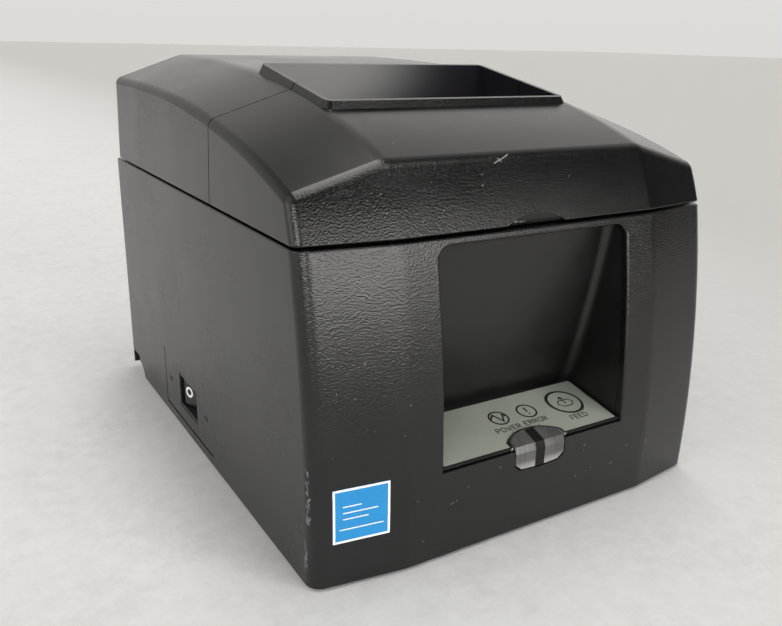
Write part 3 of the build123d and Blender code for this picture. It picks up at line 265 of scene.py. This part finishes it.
# One look for each material slot of the record.
black = (0.0026, 0.0027, 0.0029)
silver = (0.31, 0.33, 0.285)
leather = 0.50
looks = {
    "case_black": casing_plastic("case_black", black, leather, 0.265),
    "recess_grey": plain_plastic("recess_grey", (0.005, 0.005, 0.0052), 0.36, 0.12),
    "panel_silver": plain_plastic("panel_silver", silver, 0.40, 0.06),
    "smoke_clear": smoke_clear("smoke_clear"),
    "divider_black": plain_plastic("divider_black", (0.003, 0.003, 0.003), 0.6, specular=0.25),
    "button_grey": plain_plastic("button_grey", silver, 0.40, 0.06),
    "label_film": plain_plastic("label_film", (0.012, 0.23, 0.53), 0.30, 0.04),
    "switch_black": plain_plastic("switch_black", (0.008, 0.008, 0.0085), 0.28, 0.05),
    "steel": metal("steel", (0.50, 0.51, 0.52), 0.32),
    "zinc_plate": metal("zinc_plate", (0.55, 0.56, 0.57), 0.42),
    "rubber_black": rubber("rubber_black", (0.012, 0.012, 0.012)),
    "roller_rubber": rubber("roller_rubber", (0.018, 0.018, 0.019)),
    "board_green": circuit_board("board_green"),
    "chip_black": plain_plastic("chip_black", (0.012, 0.012, 0.013), 0.55, 0.2),
    "capacitor": metal("capacitor", (0.60, 0.61, 0.63), 0.25),
    "socket_black": plain_plastic("socket_black", (0.012, 0.012, 0.0125), 0.42),
    "socket_metal": metal("socket_metal", (0.66, 0.67, 0.68), 0.28),
    "led_lens": plain_plastic("led_lens", (0.62, 0.66, 0.58), 0.2),
    "ceramic": plain_plastic("ceramic", (0.55, 0.50, 0.42), 0.18),
    "heatsink": metal("heatsink", (0.62, 0.63, 0.64), 0.36),
    "motor_can": metal("motor_can", (0.10, 0.10, 0.105), 0.35),
    "gear_white": plain_plastic("gear_white", (0.72, 0.70, 0.64), 0.42),
    "brass": metal("brass", (0.68, 0.50, 0.22), 0.30),
    "blade_steel": metal("blade_steel", (0.60, 0.61, 0.63), 0.22, (900.0, 40.0, 900.0)),
    "lever_green": plain_plastic("lever_green", (0.01, 0.16, 0.07), 0.40),
    "hopper_black": plain_plastic("hopper_black", (0.010, 0.010, 0.0105), 0.42),
    "cable_white": plain_plastic("cable_white", (0.70, 0.70, 0.66), 0.45),
}
# The covers are polished inside the paper exit: its reach in x, y and z, in metres.
exit_well = ((-0.0436, 0.0436), (-0.0411, 0.0038), (0.098, 0.140))
cover_black = casing_plastic("cover_black", black, leather, 0.25, polished=exit_well)
white_print = plain_plastic("white_print", (0.80, 0.81, 0.80), 0.42, 0.05)
# The black of the print, also used for the painted shadow lines in the gaps round the overlay.
black_print_and_shade = plain_plastic("black_print_and_shade", (0.008, 0.008, 0.008), 0.45, 0.05)
scuff_grey = plain_plastic("scuff_grey", (0.19, 0.19, 0.175), 0.60, 0.3)

for part in frame["record"]["subparts"]:
    node = nodes[part["node"]]
    node.data.materials.clear()
    node.data.materials.append(looks[part["material_slot"]])
for name in ("front_cover", "rear_cover"):
    nodes[name].data.materials[0] = cover_black


# ---- printed marks, painted shadow lines and wear, laid on the CAD surfaces; lengths here are in millimetres ---
PRINT_AND_SHADE_PROUD = 0.05
SCUFF_PROUD = 0.012
SUNK = 0.06
SHARPEST_MITRE = 0.5
FAR = 300.0


def strip_rings(points, width, closed):
    """Left and right edge points along a drawn line, mitred at its corners."""
    count = len(points)
    sides = []
    for i, here in enumerate(points):
        before = points[i - 1] if i or closed else None
        after = points[(i + 1) % count] if closed or i < count - 1 else None
        into = (here - before).normalized() if before is not None else (after - here).normalized()
        out = (after - here).normalized() if after is not None else into
        along = (into + out).normalized() if (into + out).length > 1e-6 else into
        reach = width / 2 / max(SHARPEST_MITRE, along.dot(into))
        across = Vector((-along.y, along.x)) * reach
        sides.append((here + across, here - across))
    return sides


def drawn(name, lines, width, placing, body, material, proud=PRINT_AND_SHADE_PROUD):
    """Thin raised strips along drawn lines, as one piece that rides on a body.

    Each line is its points and whether it is closed; placing(u, v, rise) gives a point on the surface.
    """
    mesh = bmesh.new()
    for points, closed in lines:
        points = [Vector(p) for p in points]
        rings = []
        for left, right in strip_rings(points, width, closed):
            corners = ((left, proud), (right, proud), (right, -SUNK), (left, -SUNK))
            rings.append([mesh.verts.new(placing(p.x, p.y, rise) * MM) for p, rise in corners])
        following = rings[1:] + rings[:1] if closed else rings[1:]
        for one, two in zip(rings, following):
            for k in range(4):
                mesh.faces.new((one[k], one[(k + 1) % 4], two[(k + 1) % 4], two[k]))
        if not closed:
            mesh.faces.new(rings[0][::-1])
            mesh.faces.new(rings[-1])
    bmesh.ops.recalc_face_normals(mesh, faces=mesh.faces)
    data = bpy.data.meshes.new(name)
    mesh.to_mesh(data)
    mesh.free()
    data.materials.append(material)
    piece = bpy.data.objects.new(name, data)
    bpy.context.scene.collection.objects.link(piece)
    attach(piece, body)


def fine(points, step=0.6):
    """The same drawn line with points close enough together to lie on a curved surface."""
    out = [points[0]]
    for (x0, y0), (x1, y1) in zip(points, points[1:]):
        parts = max(1, math.ceil(math.hypot(x1 - x0, y1 - y0) / step))
        out += [(x0 + (x1 - x0) * k / parts, y0 + (y1 - y0) * k / parts) for k in range(1, parts + 1)]
    return out


def circle(x, y, radius, count=48):
    turns = [2 * math.pi * k / count for k in range(count)]
    return [(x + radius * math.cos(turn), y + radius * math.sin(turn)) for turn in turns]


def draped(name, aim):
    """A placing that throws a point onto a CAD node from the front, left or above."""
    node = nodes[name]
    verts = [node.matrix_world @ v.co / MM for v in node.data.vertices]
    tree = BVHTree.FromPolygons(verts, [list(p.vertices) for p in node.data.polygons])

    def place(u, v, rise):
        start = {"front": (u, -FAR, v), "left": (-FAR, u, v), "top": (u, v, FAR)}[aim]
        ahead = {"front": (0, 1, 0), "left": (1, 0, 0), "top": (0, 0, -1)}[aim]
        spot, normal, _, _ = tree.ray_cast(Vector(start), Vector(ahead))
        if normal.dot(Vector(ahead)) > 0:
            normal = -normal
        return spot + normal * rise

    return place


# The silver overlay's sloping face: u runs across it from the middle, v up it from its front edge.
panel_front = Vector((0.0, -93.0, 29.1))
panel_rear = Vector((0.0, -68.9, 33.3))
panel_up = (panel_rear - panel_front).normalized()
panel_out = Vector((0.0, -panel_up.z, panel_up.y))
panel_run = (panel_rear - panel_front).length
front_inset = 0.5
button_top = 0.2


def on_panel(u, v, rise):
    return panel_front + Vector((u, 0.0, 0.0)) + panel_up * v + panel_out * rise


def on_button(u, v, rise):
    return on_panel(u, v, rise + button_top)


# Black lines on the overlay: its print, and also the painted shadow lines in its gaps.
def panel_print_and_shade(name, lines, width, placing=on_panel, body="root", proud=PRINT_AND_SHADE_PROUD):
    drawn(name, lines, width, placing, body, black_print_and_shade, proud)


# Each letter's strokes in a unit-high cell: width, then the drawn lines.
strokes = {
    "P": (0.62, [([(0, 0), (0, 1), (0.42, 1), (0.6, 0.88), (0.6, 0.62), (0.42, 0.5), (0, 0.5)], False)]),
    "O": (0.70, [([(0.2, 0), (0.5, 0), (0.68, 0.2), (0.68, 0.8),
                   (0.5, 1), (0.2, 1), (0.02, 0.8), (0.02, 0.2)], True)]),
    "W": (0.90, [([(0, 1), (0.22, 0), (0.44, 0.85), (0.66, 0), (0.88, 1)], False)]),
    "E": (0.58, [([(0.56, 1), (0, 1), (0, 0), (0.56, 0)], False), ([(0, 0.52), (0.48, 0.52)], False)]),
    "R": (0.64, [([(0, 0), (0, 1), (0.42, 1), (0.6, 0.88), (0.6, 0.64), (0.42, 0.52), (0, 0.52)], False),
                 ([(0.3, 0.52), (0.62, 0)], False)]),
    "F": (0.56, [([(0.56, 1), (0, 1), (0, 0)], False), ([(0, 0.52), (0.48, 0.52)], False)]),
    "D": (0.66, [([(0, 0), (0, 1), (0.38, 1), (0.64, 0.76), (0.64, 0.24), (0.38, 0)], True)]),
}


def word(text, middle, low, height, space=0.30):
    """Drawn lines of a short word, centred on middle."""
    width = sum(strokes[c][0] for c in text) + space * (len(text) - 1)
    start = middle / height - width / 2
    lines = []
    for letter in text:
        step, drawing = strokes[letter]
        for points, closed in drawing:
            lines.append(([((start + x) * height, low + y * height) for x, y in points], closed))
        start += step + space
    return lines


# Pictograms, rings and words, by their places on the overlay.
icon_line, word_line, word_high = 0.58, 0.30, 2.0
light_ring, feed_ring = 3.2, 5.85
power_x, power_y = -3.7, 14.7
error_x, error_y = 7.4, 14.6
feed_x, feed_y = 22.7, 13.9
zigzag = [(-3.1, 0.0), (-1.1, 2.0), (0.6, -1.9), (2.2, 1.2), (3.1, 0.1)]
power_icon = [
    (circle(power_x, power_y, light_ring), True),
    ([(power_x + x, power_y + y) for x, y in zigzag], False),
]
error_icon = [
    (circle(error_x, error_y, light_ring), True),
    ([(error_x, error_y - 0.4), (error_x, error_y + 1.9)], False),
    ([(error_x, error_y - 1.75), (error_x, error_y - 1.25)], False),
]
sheet_mark = [(-3.0, -0.6), (-2.0, 1.0), (2.0, 1.0), (3.0, -0.6), (1.6, -2.2), (-1.6, -2.2)]
feed_icon = [
    ([(feed_x + x, feed_y + y) for x, y in sheet_mark], True),
    ([(feed_x, feed_y - 1.0), (feed_x, feed_y + 2.8)], False),
    ([(feed_x - 0.9, feed_y + 1.7), (feed_x, feed_y + 2.9), (feed_x + 0.9, feed_y + 1.7)], False),
]
feed_circle = [(circle(feed_x, feed_y, feed_ring, 72), True)]
ticks = [([(x, 6.6), (x, 7.3)], False) for x in (-4.2, 6.4)]
panel_print_and_shade("print_power_icon", power_icon, icon_line)
panel_print_and_shade("print_error_icon", error_icon, icon_line)
panel_print_and_shade("print_feed_ring", feed_circle, 0.74, on_button, "feed_button")
panel_print_and_shade("print_feed_icon", feed_icon, 0.36, on_button, "feed_button")
panel_print_and_shade("print_power_word", word("POWER", -4.1, 8.0, word_high), word_line)
panel_print_and_shade("print_error_word", word("ERROR", 6.8, 8.2, word_high), word_line)
panel_print_and_shade("print_feed_word", word("FEED", 22.1, 5.1, word_high), word_line)
panel_print_and_shade("print_ticks", ticks, 0.22)

# Painted shadow lines on the overlay: black lines for the shade in the gaps along its edge, and along the
# arch it makes round the light guides.
guide_middle, guide_reach, guide_side, guide_top = 1.0, 10.45, 3.0, 7.2
arch_foot, arch_gap, arch_steps = 0.6, 0.3, 12
bow_rise = guide_top - guide_side
bow_radius = (guide_reach**2 + bow_rise**2) / (2 * bow_rise)
half_bow = math.asin(guide_reach / bow_radius)
bow_points = []
for k in range(2 * arch_steps + 1):
    turned = half_bow * (k / arch_steps - 1)
    u = guide_middle + bow_radius * math.sin(turned)
    bow_points.append((u, guide_top - bow_radius * (1 - math.cos(turned))))
left_foot, right_foot = guide_middle - guide_reach, guide_middle + guide_reach
arch_shadow_line = [(left_foot, arch_foot)] + bow_points + [(right_foot, arch_foot)]
edge_u, edge_low, edge_high = 33.6, 0.82, panel_run - 0.35
left_end, right_end = left_foot - arch_gap, right_foot + arch_gap
edge_shadow_line = [(left_end, edge_low), (-edge_u, edge_low), (-edge_u, edge_high)]
edge_shadow_line += [(edge_u, edge_high), (edge_u, edge_low), (right_end, edge_low)]
# Painted shadow: these black lines stand for the shade in the gaps round the guides and along the
# overlay's sides and rear.
panel_print_and_shade("panel_arch_shadow_line", [(arch_shadow_line, False)], 0.62)
panel_print_and_shade("panel_edge_shadow_line", [(edge_shadow_line, False)], 0.58)


def on_panel_edge(u, v, rise):
    """A placing on the overlay's front edge, where v runs down its thickness."""
    return on_panel(u, front_inset - rise, -v)


# Painted shadow: a black strip down the overlay's front edge stands for the shade in the gap in front of
# it.
edge_half, edge_down = 33.9, 0.38
front_edge_shadows = [
    ([(-edge_half, edge_down), (left_end, edge_down)], False),
    ([(right_end, edge_down), (edge_half, edge_down)], False),
]
panel_print_and_shade("panel_front_edge_shadow", front_edge_shadows, 0.80, on_panel_edge, proud=0.03)

# A plain label: white edge line and plain bars.
label_low, label_high = (Vector(c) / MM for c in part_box("front_label"))
on_label = draped("front_label", "front")
inset = 0.35
left_x, right_x = label_low.x + inset, label_high.x - inset
low_z, high_z = label_low.z + inset, label_high.z - inset
corners = [(left_x, low_z), (right_x, low_z), (right_x, high_z), (left_x, high_z), (left_x, low_z)]
border = [(fine(corners)[:-1], True)]
drawn("label_border", border, 0.62, on_label, "root", white_print)
bars = [(0.24, 0.10, 0.90), (0.44, 0.16, 0.62), (0.56, 0.16, 0.80), (0.68, 0.16, 0.50)]
bar_lines = []
for height, start, end in bars:
    z = low_z + height * (high_z - low_z)
    span_x = right_x - left_x
    bar_lines.append((fine([(left_x + start * span_x, z), (left_x + end * span_x, z)]), False))
drawn("label_bars", bar_lines, 0.30, on_label, "root", white_print)

# The power rocker's on and off marks.
rocker_low, rocker_high = (Vector(c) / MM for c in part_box("power_rocker"))
rocker = (rocker_low + rocker_high) / 2
on_rocker = draped("power_rocker", "left")
mark_apart, off_radius, on_half, mark_line = 5.0, 1.65, 1.9, 0.85
off_mark = [(circle(rocker.y + mark_apart, rocker.z, off_radius, 32), True)]
on_bar = [(rocker.y - mark_apart, rocker.z - on_half), (rocker.y - mark_apart, rocker.z + on_half)]
on_mark = [(fine(on_bar), False)]
drawn("print_off_mark", off_mark, mark_line, on_rocker, "power_rocker", white_print)
drawn("print_on_mark", on_mark, mark_line, on_rocker, "power_rocker", white_print)


scratch_step = 0.3


def scratches(name, lines, width, placing, body):
    drawn(name, lines, width, placing, body, scuff_grey, proud=SCUFF_PROUD)


def scuffs(name, node, aim, patch, count, length, width, lean, seed):
    """Short pale scratches scattered over a patch of a CAD surface, all leaning about the same way."""
    low, high = patch
    shortest, sway = 0.4, 25
    dice = random.Random(seed)
    lines = []
    for _ in range(count):
        u, v = (dice.uniform(a, b) for a, b in zip(low, high))
        reach = length * dice.uniform(shortest, 1.0)
        angle = math.radians(lean + dice.uniform(-sway, sway))
        tip = (u + reach * math.cos(angle), v + reach * math.sin(angle))
        lines.append((fine([(u, v), tip], scratch_step), False))
    body = "root" if node == "main_case" else node
    scratches(name, lines, width, draped(node, aim), body)


# Each patch: piece, node, aim, corners, count, length, width, lean in degrees, seed.
worn = [
    ("wear_corner_high", "main_case", "left", ((-87.5, 29.0), (-86.6, 36.0)), 14, 1.3, 0.16, 80, 3),
    ("wear_corner_mid", "main_case", "left", ((-87.6, 20.0), (-86.8, 28.0)), 18, 1.5, 0.20, 95, 5),
    ("wear_corner_low", "main_case", "left", ((-86.8, 6.0), (-85.4, 14.0)), 14, 2.2, 0.20, 85, 7),
    ("wear_front_left", "main_case", "front", ((-46.0, 8.0), (-14.0, 25.0)), 6, 1.1, 0.12, 30, 11),
    ("wear_front_right", "main_case", "front", ((16.0, 6.0), (62.0, 25.0)), 7, 1.1, 0.12, 30, 12),
    ("wear_front_high", "main_case", "front", ((-66.0, 45.0), (-38.0, 88.0)), 7, 0.8, 0.12, 60, 13),
    ("wear_scoop", "front_cover", "front", ((-10.5, 94.5), (-4.0, 94.9)), 10, 1.2, 0.18, 5, 17),
    ("wear_cover_front", "front_cover", "front", ((-60.0, 97.0), (50.0, 108.0)), 7, 0.9, 0.12, 40, 19),
    ("wear_top", "front_cover", "top", ((-40.0, -70.0), (45.0, -48.0)), 6, 0.9, 0.12, 70, 23),
]
for row in worn:
    scuffs(*row)
cross_marks = [
    (fine([(-11.6, 110.6), (-5.9, 112.6)], scratch_step), False),
    (fine([(-10.0, 111.9), (-8.9, 110.9)], scratch_step), False),
]
scratches("wear_cross", cross_marks, 0.28, draped("front_cover", "front"), "front_cover")


# Softly rounded edges on the clear light guides.
for name in ("power_light_guide", "error_light_guide"):
    rounding = nodes[name].modifiers.new("rounding", "BEVEL")
    rounding.width = 1.3 * MM
    rounding.segments = 5
    rounding.limit_method = "ANGLE"
    rounding.angle_limit = math.radians(25)


# ---- camera: yaw from +Y towards +X, pitch down and roll, in radians ------------------
camera_spot = Vector((-0.15165, -0.25382, 0.14218))
yaw, pitch, roll = 0.5513, 0.3271, 0.0245
ahead = Vector((math.sin(yaw) * math.cos(pitch), math.cos(yaw) * math.cos(pitch), -math.sin(pitch)))
level = Vector((math.cos(yaw), -math.sin(yaw), 0.0))
above = level.cross(ahead)
across = math.cos(roll) * level + math.sin(roll) * above
upward = -math.sin(roll) * level + math.cos(roll) * above
camera_data = bpy.data.cameras.new("camera")
camera_data.lens = 37.12
camera_data.sensor_width = 36.0
camera_data.clip_start = 0.01
camera = bpy.data.objects.new("camera", camera_data)
bpy.context.scene.collection.objects.link(camera)
turn = Matrix((across, upward, -ahead)).transposed()
camera.matrix_world = Matrix.Translation(camera_spot) @ turn.to_4x4()
bpy.context.scene.camera = camera


# ---- floor and light ------------------------------------------------------------
def pale_floor():
    """Wide sheet of mottled paper, plainer far behind the object, with painted shade making it a little
    darker to its right.
    """
    reach = 12.0
    data = bpy.data.meshes.new("floor")
    mesh = bmesh.new()
    around = ((-1, -1), (1, -1), (1, 1), (-1, 1))
    mesh.faces.new([mesh.verts.new((x * reach, y * reach, 0.0)) for x, y in around])
    mesh.to_mesh(data)
    mesh.free()
    floor = bpy.data.objects.new("floor", data)
    bpy.context.scene.collection.objects.link(floor)
    g = Graph("floor_paper")
    mottle = g.noise(150.0, 6.0, 0.75)
    wide = g.noise(26.0, 4.0, 0.6)
    color = g.mix(g.span(mottle, 0.3, 0.7), (0.69, 0.69, 0.685), (0.79, 0.79, 0.785))
    color = g.mix(g.span(wide, 0.35, 0.65, 0.0, 0.55), color, (0.78, 0.78, 0.775))
    along_x, along_y, _ = g.parts(g.place)
    color = g.mix(g.span(along_y, 0.3, 3.0), color, (0.72, 0.71, 0.695))
    # Painted shade: the floor darkens towards +x, where the light falls off to the object's right.
    color = g.mix(g.span(along_x, -0.05, 0.50), color, (0.57, 0.56, 0.54))
    g.set(Specular_IOR_Level=0.2)
    rough = g.span(mottle, 0.3, 0.7, 0.7, 0.85)
    data.materials.append(g.output(color, rough, g.bump(mottle, 0.25, 0.0006)))


def pale_world(windows, skylight):
    """A room seen in reflections and as light: pale behind, dim in front, with bright windows.

    Each window is its bearings, its heights, how softly its top and bottom fade, and its glow.
    The camera itself sees a plain pale backdrop in every direction.
    """
    world = bpy.data.worlds.new("studio")
    bpy.context.scene.world = world
    world.use_nodes = True
    tree = world.node_tree
    background = tree.nodes["Background"]
    toward = tree.nodes.new("ShaderNodeTexCoord")
    parts = tree.nodes.new("ShaderNodeSeparateXYZ")
    tree.links.new(toward.outputs["Generated"], parts.inputs[0])

    def ramp(source, low, high, to_low, to_high):
        node = tree.nodes.new("ShaderNodeMapRange")
        node.interpolation_type = "SMOOTHSTEP"
        tree.links.new(source, node.inputs["Value"])
        for name, limit in zip(SPAN_LIMITS, (low, high, to_low, to_high)):
            node.inputs[name].default_value = limit
        return node.outputs["Result"]

    def join(operation, one, two):
        node = tree.nodes.new("ShaderNodeMath")
        node.operation = operation
        for socket, source in zip(node.inputs, (one, two)):
            if isinstance(source, bpy.types.NodeSocket):
                tree.links.new(source, socket)
            else:
                socket.default_value = source
        return node.outputs[0]

    def times(first, *others):
        for other in others:
            first = join("MULTIPLY", first, other)
        return first

    def band(source, limits, soft):
        low, high = limits
        rise = ramp(source, low - soft, low + soft, 0.0, 1.0)
        fall = ramp(source, high - soft, high + soft, 1.0, 0.0)
        return times(rise, fall)

    x, y, z = parts.outputs
    bearing = join("ARCTAN2", x, times(y, -1.0))
    back = ramp(y, -0.35, 0.55, 0.05, 1.0)
    side = ramp(x, -0.2, 0.6, 0.85, 1.25)
    overhead = ramp(z, 0.45, 0.90, 1.0, 0.42)
    horizon = ramp(z, 0.0, 0.20, 0.83, 1.0)
    strength = times(times(back, side), times(overhead, horizon))
    side_soft = 0.06
    for bearings, heights, soft, glow in windows:
        wide = band(bearing, [math.radians(degrees) for degrees in bearings], side_soft)
        strength = join("ADD", strength, times(wide, band(z, heights, soft), glow))
    across, along, glow = skylight
    roof = times(band(x, across, 0.03), band(y, along, 0.05))
    strength = join("ADD", strength, times(roof, ramp(z, 0.3, 0.5, 0.0, glow)))
    seen = tree.nodes.new("ShaderNodeLightPath").outputs["Is Camera Ray"]
    unseen = join("SUBTRACT", 1.0, seen)
    backdrop = times(horizon, 1.20)
    strength = join("ADD", times(backdrop, seen), times(strength, unseen))
    tree.links.new(strength, background.inputs["Strength"])
    background.inputs["Color"].default_value = (0.72, 0.71, 0.69, 1.0)


def sunlight(toward, spread, power):
    """A broad soft light from far away; toward is the way it shines, spread its width in radians."""
    data = bpy.data.lights.new("daylight", "SUN")
    data.angle = spread
    data.energy = power
    light = bpy.data.objects.new("daylight", data)
    bpy.context.scene.collection.objects.link(light)
    light.rotation_euler = Vector(toward).to_track_quat("-Z", "Y").to_euler()


# The windows: bearings in degrees from -Y towards +X; heights as the sine of the elevation.
windows = [
    ((-6.0, 37.0), (-0.05, 0.20), 0.03, 9.5),
    ((-6.0, 40.0), (0.20, 0.41), 0.015, 5.5),
    ((31.0, 47.0), (0.67, 0.86), 0.03, 7.5),
    ((-55.0, -22.0), (0.05, 0.50), 0.03, 8.0),
    ((-115.0, -72.0), (-0.05, 0.40), 0.05, 2.3),
]
# A strip of ceiling light: its reach across (x) and along (y) in the direction's own parts, and its glow.
skylight = ((0.04, 0.28), (-0.45, 0.45), 7.0)

bpy.context.scene.view_settings.view_transform = "Standard"
pale_floor()
pale_world(windows, skylight)
sunlight(toward=(0.75, 0.05, -0.85), spread=0.95, power=0.55)
